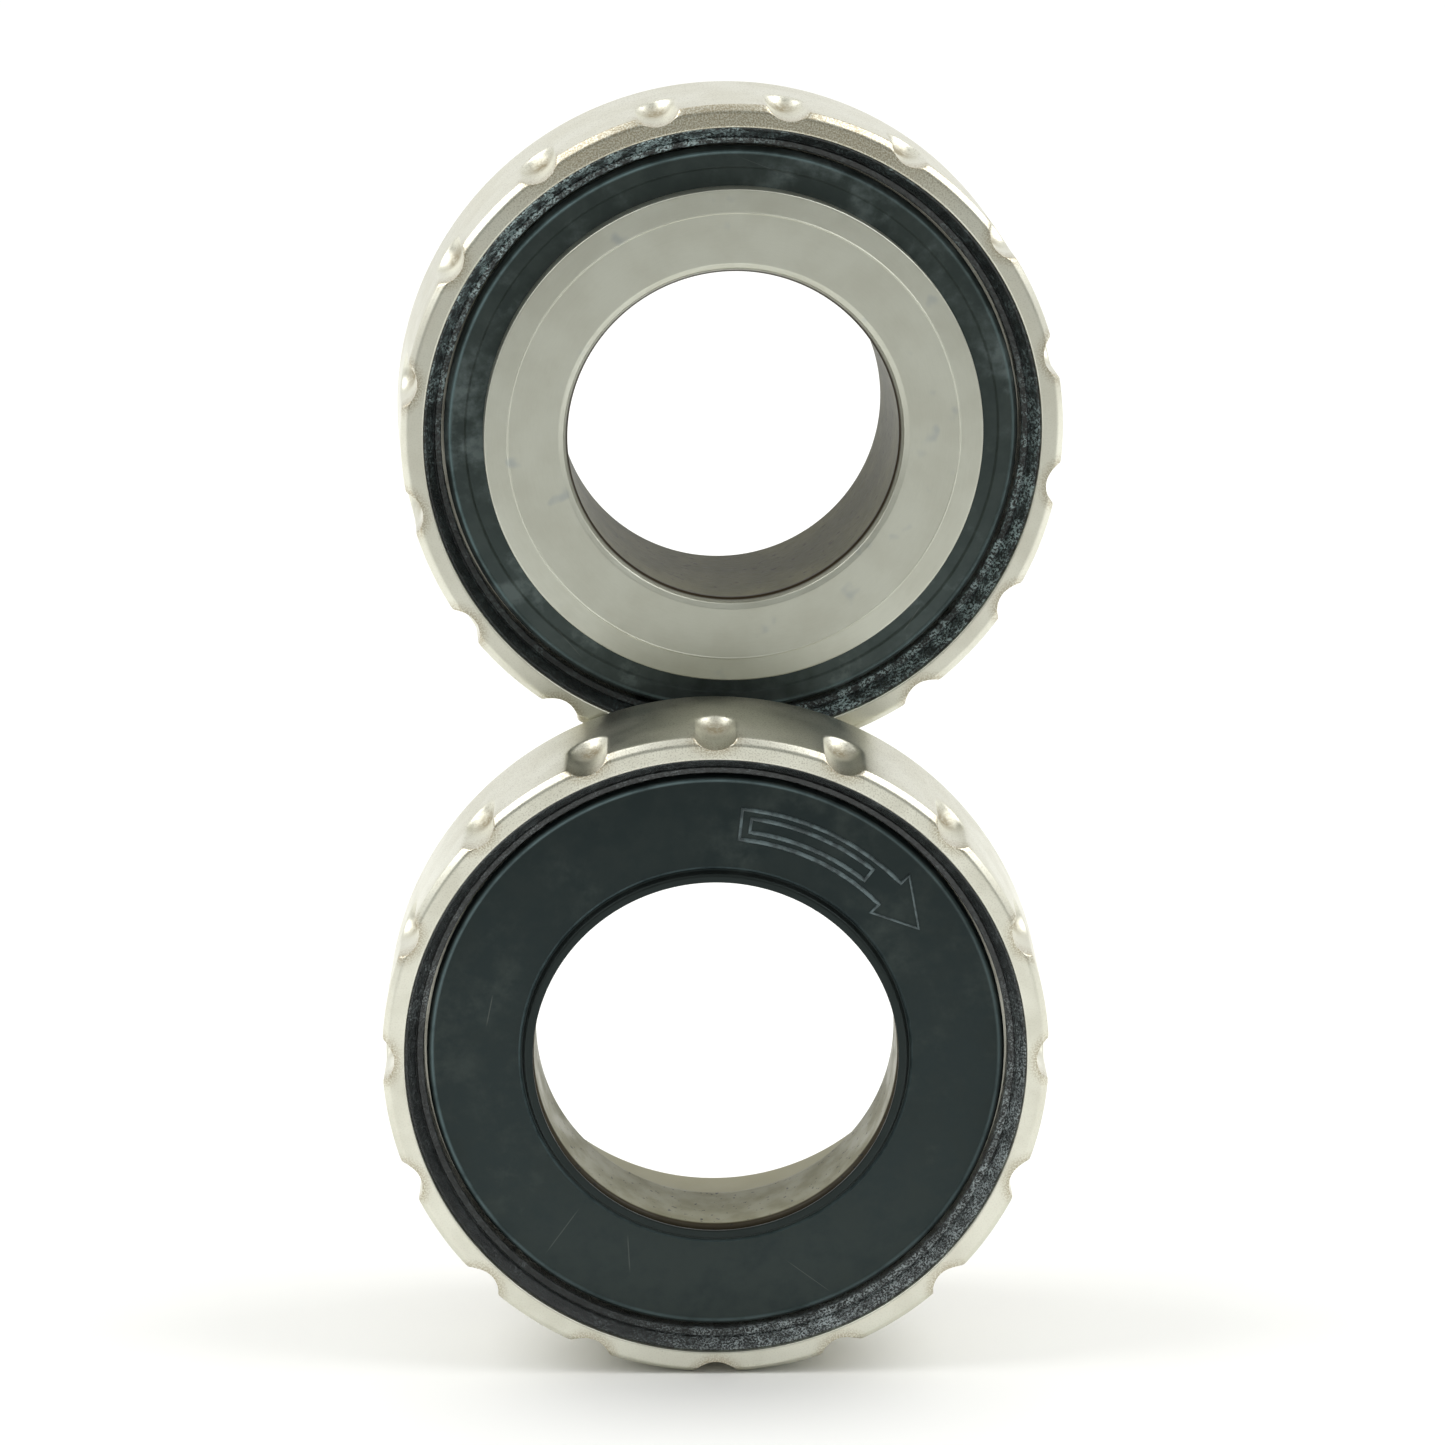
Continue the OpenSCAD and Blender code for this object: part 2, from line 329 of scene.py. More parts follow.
def cup_shell(side):
    """The notched flange, the recess, the bearing seat and the threaded barrel. The
    columns halve on the flange's back and on the floor of the seat."""
    back_outer_r, back_inner_r = 18.2, 17.75
    floor_outer_r, floor_inner_r = 16, 15.75
    notch_end = NOTCH_BALL_Z + 2.2
    notch_row_step = 0.24
    outer = rounded([
        [back_outer_r, FLANGE_LEN], [FLANGE_R, FLANGE_LEN, 0.28],
        [FLANGE_R, notch_end], [FLANGE_R, FACE_BEVEL, 0.3],
        [FLANGE_R - FACE_BEVEL, 0, 0.3], [RECESS_R, 0, 0.12],
        [RECESS_R, RECESS_DEPTH, 0.1], [SEAT_R, RECESS_DEPTH, 0.15],
        [SEAT_R, SEAT_END, 0.1], [floor_outer_r, SEAT_END]], closed=False)
    notched = [i for i, p in enumerate(outer) if p.y < notch_end + 0.1 and p.x > RECESS_R]
    first, last = notched[0], notched[-1]
    outer = (outer[:first] + spaced(outer[first:last + 1], notch_row_step)
             + outer[last + 1:])
    neck_r = THREAD_R - THREAD_DEPTH - 0.15
    neck = rounded([
        [back_inner_r, FLANGE_LEN], [THREAD_R + 0.2, FLANGE_LEN],
        [THREAD_R, FLANGE_LEN - 0.2], [neck_r, FLANGE_LEN - 0.2, 0.08],
        [neck_r, THREAD_START - 0.3]], closed=False)
    barrel = rounded([
        [THREAD_R - THREAD_DEPTH - 0.5, CUP_LEN], [BARREL_BORE_R, CUP_LEN, 0.3],
        [BARREL_BORE_R, SEAT_END, 0.12], [floor_inner_r, SEAT_END]], closed=False)
    bm = bmesh.new()
    shape = cut_notch(NOTCH_TURN[side])
    outer_rings = [add_ring(bm, p, CUP_COLUMNS, shape) for p in outer]
    neck_rings = [add_ring(bm, p, BARREL_COLUMNS) for p in neck]
    first_row, last_row = thread_rows(bm, THREAD_HAND[side])
    barrel_rings = [add_ring(bm, p, BARREL_COLUMNS) for p in barrel]
    for chain in (outer_rings, neck_rings, barrel_rings):
        for first, second in zip(chain, chain[1:]):
            bridge(bm, first, second)
    bridge(bm, neck_rings[-1], first_row)
    bridge(bm, last_row, barrel_rings[0])
    bridge_double(bm, neck_rings[0], outer_rings[0])
    bridge_double(bm, barrel_rings[-1], outer_rings[-1])
    shell = finish_mesh(side + "_cup_shell_detail", bm)
    mark_dirt_shade_and_scuffs(shell.data, side)
    shell.data.materials.append(cup_metal())
    return put(shell, side, "cup", "cup_shell")


# ---- covers --------------------------------------------------------------

def greasy(p):
    """Roughens the exposed rubber with lumps of old grease."""
    buried = RECESS_DEPTH - 1.2
    if p.z > buried:
        return p
    lumps = 0.03 * noise.noise(p * 1.7)
    grains = 0.035 * noise.noise(p * 4.1)
    return p + Vector((0, 0, lumps + grains))


def seal_ring(side):
    """The fixed black ring pressed into the recess."""
    r = RECESS_R - 0.01
    ring = lathe(side + "_seal_ring_detail", [
        [SEAL_RING_R, RECESS_DEPTH], [SEAL_RING_R, 1.3, 0.12],
        [SEAL_RING_R + 0.4, 1.15, 0.05], [SEAL_RING_R + 0.5, 1.35, 0.04],
        [SEAL_RING_R + 0.6, 1.12, 0.05], [r - 0.15, 0.4, 0.1], [r, 0.36, 0.04],
        [r, RECESS_DEPTH]], columns=RUBBER_COLUMNS, shape=greasy, step=0.13)
    ring.data.materials.append(ring_rubber() if side == "drive" else greasy_ring_rubber())
    return put(ring, side, "cup", "seal_ring")


def shield_face_z(r):
    """Depth of the drive shield's gently coned face."""
    return 1 + (r - SPINDLE_R["drive"] - 1.1) * 0.1


def drive_shield():
    """The black cover that turns with the spindle. Its lip is beaded, and undercut
    behind so that a dark gap shows around the bore."""
    b = SPINDLE_R["drive"] + 0.06
    shield = lathe("drive_dust_shield_detail", [
        [b + 0.42, INNER_FRONT], [b, 0.7, 0.08], [b, 0.5, 0.08], [b + 0.55, 0.5, 0.2],
        [b + 0.72, 1.12, 0.08],
        [b + 0.95, shield_face_z(b + 0.95), 0.06],
        [SHIELD_R - 0.5, shield_face_z(SHIELD_R - 0.5), 0.06],
        [SHIELD_R - 0.34, shield_face_z(SHIELD_R - 0.34) - 0.1, 0.06],
        [SHIELD_R - 0.16, 1.55, 0.06], [SHIELD_R, 1.9, 0.1], [SHIELD_R, SHIELD_BACK],
        [INNER_LAND_R + 0.06, SHIELD_BACK, 0.1], [INNER_LAND_R + 0.06, INNER_FRONT]])
    shield.data.materials.append(shield_plastic())
    return put(shield, "drive", "rotor", "dust_shield")


def nondrive_shield():
    """The cover behind the top hat, with a raised band near its rim."""
    b = RING_BORE_R["nondrive"] + 0.06
    shield = lathe("nondrive_dust_shield_detail", [
        [b, INNER_FRONT], [b, HAT_SEAT], [HAT_FLANGE_R, HAT_SEAT],
        [SHIELD_R - 1.45, 1.2, 0.05], [SHIELD_R - 1.3, 1.08, 0.08],
        [SHIELD_R - 0.5, 1.18, 0.08], [SHIELD_R - 0.34, 1.08, 0.06],
        [SHIELD_R - 0.16, 1.3, 0.08], [SHIELD_R, 1.62, 0.1], [SHIELD_R, SHIELD_BACK],
        [INNER_LAND_R + 0.06, SHIELD_BACK, 0.1], [INNER_LAND_R + 0.06, INNER_FRONT]])
    shield.data.materials.append(dusty_shield_plastic())
    return put(shield, "nondrive", "rotor", "dust_shield")


def top_hat():
    """The flanged bushing that steps the bore down to the spindle's thin end."""
    bore = SPINDLE_R["nondrive"]
    tube = RING_BORE_R["nondrive"] - 0.02
    crest = HAT_FLANGE_R - 1.55
    hat = lathe("nondrive_top_hat_detail", [
        [bore, 0.2, 0.1], [bore + 0.3, -0.38, 0.15], [bore + 0.65, -0.55, 0.15],
        [crest - 0.07, -0.62], [crest, -0.67, 0.02], [crest + 0.07, -0.62],
        [HAT_FLANGE_R, -0.56, 0.12], [HAT_FLANGE_R, HAT_SEAT, 0.15],
        [tube, HAT_SEAT], [tube, HAT_END, 0.3], [bore, HAT_END, 0.25]])
    hat.data.materials.append(hat_metal())
    return put(hat, "nondrive", "rotor", "top_hat")


def inner_ring(side):
    """The bearing's inner ring, with its ball groove and bevelled bore."""
    b = RING_BORE_R[side]
    groove_r, ball_plane, pitch_r = 1.64, 5.4, 15.25
    half = math.sqrt(groove_r ** 2 - (pitch_r - INNER_LAND_R) ** 2)
    spread = math.asin(half / groove_r)
    groove = [[pitch_r - groove_r * math.cos(a), ball_plane + groove_r * math.sin(a)]
              for a in (spread * (k / 6 - 1) for k in range(13))]
    ring = lathe(side + "_bearing_inner_ring_detail", [
        [b, INNER_FRONT, 0.38], [INNER_LAND_R, INNER_FRONT, 0.12]] + groove + [
        [INNER_LAND_R, SEAT_END, 0.15], [b, SEAT_END, 0.38]])
    ring.data.materials.append(bearing_steel())
    return put(ring, side, "rotor", "bearing_inner_ring")


def inboard_seal(side):
    """The thin rubber washer on the inboard side, with a stepped lip."""
    z = SEAT_END - 0.2
    lip = INNER_LAND_R + 0.06
    seal = lathe(side + "_inboard_seal_detail", [
        [lip, z - 0.6], [SEAL_SEAT_R, z - 0.6], [SEAL_SEAT_R, z, 0.1],
        [SEAL_SEAT_R - 0.35, z, 0.1], [SEAL_SEAT_R - 0.5, z - 0.25, 0.08],
        [lip + 0.6, z - 0.25, 0.08], [lip + 0.45, z - 0.08, 0.08], [lip, z - 0.08, 0.08]])
    seal.data.materials.append(seal_rubber())
    return put(seal, side, "cup", "inboard_seal")


def tighten_mark():
    """A plain moulded arrow on the drive shield that shows a turning direction."""
    inner, outer, tip_r = 14.9, 16.9, 15.9
    tail, neck, tip = math.radians(-84), math.radians(-44), math.radians(-33)
    barb = 0.75

    def arc(r, start, end, steps=24):
        return [(r, start + (end - start) * k / steps) for k in range(steps + 1)]

    outline = (arc(inner, tail, neck) + [(inner - barb, neck), (tip_r, tip),
               (outer + barb, neck)] + arc(outer, neck, tail))
    inset = 0.55
    core = arc(inner + inset, tail + 0.04, neck - 0.12) + arc(
        outer - inset, neck - 0.12, tail + 0.04)
    for name, path in (("drive_shield_mark_outline", outline), ("drive_shield_mark_core", core)):
        data = bpy.data.curves.new(name, "CURVE")
        data.dimensions = "3D"
        data.bevel_depth = 0.15
        data.bevel_resolution = 2
        data.use_fill_caps = True
        line = data.splines.new("POLY")
        line.points.add(len(path) - 1)
        line.use_cyclic_u = True
        for point, (r, angle) in zip(line.points, path):
            point.co = (r * math.cos(angle), r * math.sin(angle), shield_face_z(r) + 0.02, 1)
        curve = bpy.data.objects.new(name + "_curve", data)
        scene.collection.objects.link(curve)
        depsgraph = bpy.context.evaluated_depsgraph_get()
        mesh = bpy.data.meshes.new_from_object(curve.evaluated_get(depsgraph))
        bpy.data.objects.remove(curve)
        bead = bpy.data.objects.new(name, mesh)
        scene.collection.objects.link(bead)
        for face in mesh.polygons:
            face.use_smooth = True
        mesh.materials.clear()
        mesh.materials.append(highlit_line_plastic())
        put(bead, "drive", "rotor", None)


# ---- materials -----------------------------------------------------------

def new_material(name, **values):
    """A principled material with the shader values that no node drives. Returns it
    with its nodes, links and shader."""
    material = bpy.data.materials.new(name)
    material.use_nodes = True
    tree = material.node_tree
    shader = tree.nodes["Principled BSDF"]
    sockets = {"colour": "Base Color", "metallic": "Metallic", "roughness": "Roughness",
               "specular": "Specular IOR Level"}
    for key, value in values.items():
        shader.inputs[sockets[key]].default_value = value
    return material, tree.nodes, tree.links, shader


def object_coords(nodes, links):
    """Object coordinates in millimetres."""
    where = nodes.new("ShaderNodeTexCoord")
    scale = nodes.new("ShaderNodeVectorMath")
    scale.operation = "SCALE"
    scale.inputs["Scale"].default_value = 1 / MM
    links.new(where.outputs["Object"], scale.inputs[0])
    return scale.outputs["Vector"]


def maths(nodes, links, operation, *values):
    """One math node; a value is a number or a socket."""
    node = nodes.new("ShaderNodeMath")
    node.operation = operation
    for socket, value in zip(node.inputs, values):
        if isinstance(value, (int, float)):
            socket.default_value = value
        else:
            links.new(value, socket)
    return node.outputs[0]


def parts_of(nodes, links, vector):
    """The three parts of a vector."""
    node = nodes.new("ShaderNodeSeparateXYZ")
    links.new(vector, node.inputs[0])
    return node.outputs


def attribute(nodes, name):
    """A value that is stored in the mesh."""
    node = nodes.new("ShaderNodeAttribute")
    node.attribute_name = name
    return node.outputs["Fac"]


def turned_coords(nodes, links, around=1.0):
    """(radius, turn, depth) of a point about the cup's axis, for marks left by a
    lathe: they run around, so the turn is squeezed to a small number."""
    x, y, z = parts_of(nodes, links, object_coords(nodes, links))
    square = maths(nodes, links, "ADD", maths(nodes, links, "MULTIPLY", x, x),
                   maths(nodes, links, "MULTIPLY", y, y))
    radius = maths(nodes, links, "SQRT", square)
    turn = maths(nodes, links, "ARCTAN2", y, x)
    join = nodes.new("ShaderNodeCombineXYZ")
    links.new(radius, join.inputs[0])
    links.new(maths(nodes, links, "MULTIPLY", turn, around), join.inputs[1])
    links.new(z, join.inputs[2])
    return join.outputs[0]


def radius_of(nodes, links, turned):
    """The radius from turned coordinates."""
    return parts_of(nodes, links, turned)[0]


def noise_texture(nodes, links, vector, scale, detail=3, roughness=0.55):
    """A noise node's value."""
    node = nodes.new("ShaderNodeTexNoise")
    node.inputs["Scale"].default_value = scale
    node.inputs["Detail"].default_value = detail
    node.inputs["Roughness"].default_value = roughness
    links.new(vector, node.inputs["Vector"])
    return node.outputs["Fac"]


def ramp(nodes, links, value, low, high, start=0.0, end=1.0):
    """Maps value from low..high to start..end, smoothly and clamped."""
    node = nodes.new("ShaderNodeMapRange")
    node.interpolation_type = "SMOOTHSTEP"
    for socket, number in zip(("From Min", "From Max", "To Min", "To Max"),
                              (low, high, start, end)):
        node.inputs[socket].default_value = number
    links.new(value, node.inputs["Value"])
    return node.outputs["Result"]


def mix_colour(nodes, links, factor, first, second):
    """Mixes two colours, each a tuple or a socket."""
    node = nodes.new("ShaderNodeMix")
    node.data_type = "RGBA"
    links.new(factor, node.inputs[0])
    for socket, colour in ((node.inputs[6], first), (node.inputs[7], second)):
        if isinstance(colour, tuple):
            socket.default_value = (*colour, 1)
        else:
            links.new(colour, socket)
    return node.outputs[2]


def add_bump(nodes, links, shader, height, strength, distance):
    """Bump from a height in millimetres."""
    node = nodes.new("ShaderNodeBump")
    node.inputs["Strength"].default_value = strength
    node.inputs["Distance"].default_value = distance * MM
    links.new(height, node.inputs["Height"])
    links.new(node.outputs["Normal"], shader.inputs["Normal"])


made_materials = {}


def once(make):
    """Makes each material only once."""
    def get():
        if make.__name__ not in made_materials:
            made_materials[make.__name__] = make()
        return made_materials[make.__name__]
    return get


@once
def cup_metal():
    """Satin nickel-silver plating, pitted towards the top with fewer pits below as painted
    light, dull in the bore, dark with dirt and painted shade at the notch ends and thread roots,
    and brown where it is scuffed."""
    material, nodes, links, shader = new_material("cup_metal", specular=0.25)
    where = object_coords(nodes, links)
    down = parts_of(nodes, links, where)[1]
    turned = turned_coords(nodes, links, 1.5)
    radius = radius_of(nodes, links, turned)
    cloud = noise_texture(nodes, links, where, 0.3, 4)
    speck = noise_texture(nodes, links, where, 4.0, 2)
    marks = noise_texture(nodes, links, turned, 9.0, 3)
    clean = mix_colour(nodes, links, ramp(nodes, links, cloud, 0.35, 0.7),
                       (0.735, 0.73, 0.635), (0.675, 0.665, 0.57))
    pits = noise_texture(nodes, links, where, 9.0, 2)
    scuffed = maths(nodes, links, "MULTIPLY", attribute(nodes, "scuff"),
                    ramp(nodes, links, pits, 0.40, 0.56, 0.15, 0.8))
    # Pits are fewer from the middle down. The pits are real; the thinning is painted light that
    # brightens the lower face.
    pits_and_painted_light = maths(nodes, links, "MULTIPLY", ramp(nodes, links, pits, 0.5, 0.66),
                      ramp(nodes, links, down, -21, -4, 0.6, 0.15))
    pitted = mix_colour(nodes, links, pits_and_painted_light, clean, (0.42, 0.40, 0.33))
    pitted = mix_colour(nodes, links, scuffed, pitted, (0.36, 0.30, 0.19))
    specked = mix_colour(nodes, links, ramp(nodes, links, speck, 0.72, 0.79, 0, 0.5),
                         pitted, (0.22, 0.19, 0.13))
    # The notch ends and thread roots go brown-dark: dirt, and painted shade in those hollows.
    dirt_and_shade = attribute(nodes, "dirt_and_shade")
    patchy = maths(nodes, links, "MULTIPLY", dirt_and_shade,
                   ramp(nodes, links, speck, 0.25, 0.6, 0.45, 1))
    dirt_and_shade_mixed = mix_colour(nodes, links, patchy, specked, (0.20, 0.15, 0.065))
    bore = ramp(nodes, links, radius, BARREL_BORE_R + 0.1, BARREL_BORE_R + 0.25, 1, 0)
    colour = mix_colour(nodes, links, bore, dirt_and_shade_mixed, (0.27, 0.255, 0.16))
    links.new(colour, shader.inputs["Base Color"])
    bare = maths(nodes, links, "SUBTRACT", 1, maths(nodes, links, "MAXIMUM", patchy, bore))
    links.new(bare, shader.inputs["Metallic"])
    rough = maths(nodes, links, "MULTIPLY_ADD", dirt_and_shade, 0.22,
                  ramp(nodes, links, cloud, 0.3, 0.75, 0.32, 0.42))
    links.new(rough, shader.inputs["Roughness"])
    add_bump(nodes, links, shader, marks, 0.2, 0.01)
    return material


@once
def hat_metal():
    """Turned alloy, a little greyer than the cups, with stains and a dirty bore."""
    material, nodes, links, shader = new_material("hat_metal", specular=0.14)
    where = object_coords(nodes, links)
    turned = turned_coords(nodes, links, 1.0)
    radius = radius_of(nodes, links, turned)
    cloud = noise_texture(nodes, links, where, 0.25, 5)
    stain = noise_texture(nodes, links, where, 0.42, 2)
    marks = noise_texture(nodes, links, turned, 14.0, 3)
    clean = mix_colour(nodes, links, ramp(nodes, links, cloud, 0.35, 0.7),
                       (0.59, 0.60, 0.525), (0.54, 0.545, 0.47))
    stained = mix_colour(nodes, links, ramp(nodes, links, stain, 0.66, 0.78, 0, 0.45),
                         clean, (0.33, 0.37, 0.40))
    bore_r = SPINDLE_R["nondrive"]
    bore = ramp(nodes, links, radius, bore_r + 0.08, bore_r + 0.22, 1, 0)
    film = mix_colour(nodes, links, ramp(nodes, links, cloud, 0.4, 0.65),
                      (0.080, 0.077, 0.026), (0.113, 0.106, 0.042))
    speck = noise_texture(nodes, links, where, 1.7, 4)
    film = mix_colour(nodes, links, ramp(nodes, links, speck, 0.60, 0.70, 0, 0.85), film,
                      (0.030, 0.020, 0.012))
    depth = parts_of(nodes, links, where)[2]
    caked = ramp(nodes, links, depth, 0.3, 0.6, 0.9, 0)
    film = mix_colour(nodes, links, caked, film, CAKED_GREASE)
    links.new(mix_colour(nodes, links, bore, stained, film), shader.inputs["Base Color"])
    links.new(maths(nodes, links, "SUBTRACT", 1, bore), shader.inputs["Metallic"])
    links.new(ramp(nodes, links, marks, 0.3, 0.7, 0.38, 0.5), shader.inputs["Roughness"])
    add_bump(nodes, links, shader, marks, 0.25, 0.01)
    return material


@once
def bearing_steel():
    """Ground ring steel, filmed over in the bore, with dried grease at the bore's ends
    and in specks all over."""
    material, nodes, links, shader = new_material("bearing_steel", specular=0.3)
    where = object_coords(nodes, links)
    turned = turned_coords(nodes, links, 2.0)
    radius = radius_of(nodes, links, turned)
    cloud = noise_texture(nodes, links, where, 0.5, 5)
    speck = noise_texture(nodes, links, where, 2.7, 3)
    marks = noise_texture(nodes, links, turned, 10.0, 3)
    clean = mix_colour(nodes, links, ramp(nodes, links, cloud, 0.35, 0.7),
                       (0.60, 0.585, 0.52), (0.42, 0.41, 0.35))
    film = mix_colour(nodes, links, ramp(nodes, links, cloud, 0.35, 0.7),
                      (0.285, 0.275, 0.165), (0.235, 0.225, 0.13))
    bore_r = RING_BORE_R["nondrive"]
    bore = ramp(nodes, links, radius, bore_r + 0.1, bore_r + 0.3, 1, 0)
    depth = parts_of(nodes, links, where)[2]
    caked = maths(nodes, links, "ADD",
                  ramp(nodes, links, depth, INNER_FRONT + 0.2, INNER_FRONT + 0.42, 0.9, 0),
                  ramp(nodes, links, depth, SEAT_END - 0.4, SEAT_END - 0.22, 0, 0.8))
    film = mix_colour(nodes, links, caked, film, CAKED_GREASE)
    under = mix_colour(nodes, links, bore, clean, film)
    colour = mix_colour(nodes, links, ramp(nodes, links, speck, 0.64, 0.69, 0, 0.9),
                        under, (0.02, 0.02, 0.018))
    links.new(colour, shader.inputs["Base Color"])
    links.new(maths(nodes, links, "SUBTRACT", 1, bore), shader.inputs["Metallic"])
    links.new(ramp(nodes, links, cloud, 0.3, 0.7, 0.3, 0.5), shader.inputs["Roughness"])
    add_bump(nodes, links, shader, marks, 0.25, 0.015)
    return material


@once
def ball_steel():
    """Polished balls under a film of grease."""
    material, nodes, links, shader = new_material(
        "ball_steel", colour=(0.72, 0.72, 0.72, 1), metallic=1)
    film = noise_texture(nodes, links, object_coords(nodes, links), 0.8, 3)
    links.new(ramp(nodes, links, film, 0.4, 0.7, 0.06, 0.3), shader.inputs["Roughness"])
    return material


@once
def cage_steel():
    """Pressed cage sheet, faintly brushed."""
    material, nodes, links, shader = new_material(
        "cage_steel", colour=(0.56, 0.55, 0.51, 1), metallic=1)
    where = object_coords(nodes, links)
    grain = noise_texture(nodes, links, where, 3.0, 4)
    links.new(ramp(nodes, links, grain, 0.3, 0.7, 0.2, 0.42), shader.inputs["Roughness"])
    add_bump(nodes, links, shader, grain, 0.2, 0.02)
    return material


def moulded_plastic(name, dark, light, dust_and_light_colour, dust_share, ridge_highlight_share, scratches):
    """Black moulded plastic: streaky from the mould, dusty, paler towards the bottom with dust
    and painted light, with painted highlights on its ridges and painted shade beside the bore
    lip. A scratch is its middle (x, y), its half length and its turn from upright."""
    material, nodes, links, shader = new_material(name, specular=0.36)
    shader.inputs["Specular Tint"].default_value = (0.78, 1.0, 1.0, 1)
    where = object_coords(nodes, links)
    radius = radius_of(nodes, links, turned_coords(nodes, links))
    dust = noise_texture(nodes, links, where, 0.14, 6, 0.65)
    smear = noise_texture(nodes, links, where, 0.45, 5, 0.6)
    fine = noise_texture(nodes, links, where, 7.0, 3)
    patchy = maths(nodes, links, "MULTIPLY",
                   ramp(nodes, links, dust, 0.44, 0.70, 0, dust_share),
                   ramp(nodes, links, smear, 0.38, 0.66))
    x, y, _ = parts_of(nodes, links, where)
    # Paler towards the bottom: settled dust, and painted light for the brighter lower face.
    settled_dust_and_light = maths(nodes, links, "MULTIPLY", ramp(nodes, links, y, 3, 18, 0, 0.45),
                    ramp(nodes, links, smear, 0.25, 0.62, 0.35, 1))
    base = mix_colour(nodes, links, ramp(nodes, links, smear, 0.35, 0.65), dark, light)
    dust_and_light = maths(nodes, links, "MAXIMUM", patchy, settled_dust_and_light)
    colour = mix_colour(nodes, links, dust_and_light, base, dust_and_light_colour)
    ridge_highlights = None
    # Painted highlight: pale teal lines on the rim's ridge and beside the bore lip, stronger
    # towards one side.
    for middle, width in ((SHIELD_R - 0.36, 0.17), (SPINDLE_R["drive"] + 0.95, 0.1)):
        off = maths(nodes, links, "ABSOLUTE", maths(nodes, links, "SUBTRACT", radius, middle))
        ridge_highlight = ramp(nodes, links, off, 0.02, width, ridge_highlight_share, 0)
        ridge_highlights = maths(nodes, links, "ADD", ridge_highlights, ridge_highlight) if ridge_highlights else ridge_highlight
    wear_and_highlight = maths(nodes, links, "MULTIPLY", ridge_highlights, ramp(nodes, links, smear, 0.3, 0.6, 0.4, 1))
    aslant = maths(nodes, links, "ADD", x, maths(nodes, links, "MULTIPLY", y, 0.6))
    wear_and_highlight = maths(nodes, links, "MULTIPLY", wear_and_highlight, ramp(nodes, links, aslant, -14, 2, 1, 0.45))
    colour = mix_colour(nodes, links, wear_and_highlight, colour, (0.155, 0.225, 0.240))
    # Painted shade: the band of the face beside the bore lip is painted near black.
    lip_r = SPINDLE_R["drive"] + 0.9
    lip = ramp(nodes, links, radius, lip_r - 0.2, lip_r, 0.8, 0)
    colour = mix_colour(nodes, links, lip, colour, (0.004, 0.004, 0.003))
    for mid_x, mid_y, half, turn in scratches:
        dx = maths(nodes, links, "SUBTRACT", x, mid_x)
        dy = maths(nodes, links, "SUBTRACT", y, mid_y)
        lean = maths(nodes, links, "MULTIPLY", dy, math.tan(turn))
        aside = maths(nodes, links, "ABSOLUTE", maths(nodes, links, "SUBTRACT", dx, lean))
        along = maths(nodes, links, "ABSOLUTE", dy)
        mark = maths(nodes, links, "MULTIPLY", ramp(nodes, links, aside, 0.01, 0.06, 0.22, 0),
                     ramp(nodes, links, along, half * 0.5, half, 1, 0))
        colour = mix_colour(nodes, links, mark, colour, (0.25, 0.26, 0.24))
    links.new(colour, shader.inputs["Base Color"])
    links.new(ramp(nodes, links, smear, 0.3, 0.7, 0.36, 0.52), shader.inputs["Roughness"])
    add_bump(nodes, links, shader, fine, 0.18, 0.012)
    return material


@once
def shield_plastic():
    """The drive side's shield: darker and cleaner, with a few light scratches."""
    scratches = ((-5.8, 13.9, 1.5, 0.05), (-10.2, 12.3, 1.8, -0.6), (6.2, 15.6, 1.3, 0.9),
                 (-14.9, -3.1, 1.2, -0.2))
    return moulded_plastic("shield_plastic", (0.0080, 0.0122, 0.0130),
                           (0.0130, 0.0172, 0.0168), (0.046, 0.055, 0.051), 0.7, 0.6,
                           scratches)


@once
def dusty_shield_plastic():
    """The non-drive side's shield: greyer, with smudges of dried grease."""
    scratches = ((-11.0, 14.1, 1.2, 0.7), (12.1, 12.9, 1.0, -0.6), (2.5, -17.6, 0.9, 1.2))
    return moulded_plastic("dusty_shield_plastic", (0.0300, 0.0375, 0.0355),
                           (0.0420, 0.0510, 0.0480), (0.115, 0.140, 0.140), 1.7, 0.95,
                           scratches)


@once
def highlit_line_plastic():
    """The same plastic, painted pale and mottled on a raised line as a painted highlight."""
    material, nodes, links, shader = new_material("highlit_line_plastic", roughness=0.4)
    # Painted highlight: the raised line is painted far paler than the shield it stands on.
    highlight_mottle = noise_texture(nodes, links, object_coords(nodes, links), 1.3, 4)
    colour = mix_colour(nodes, links, ramp(nodes, links, highlight_mottle, 0.35, 0.62),
                        (0.045, 0.062, 0.066), (0.125, 0.170, 0.180))
    links.new(colour, shader.inputs["Base Color"])
    return material


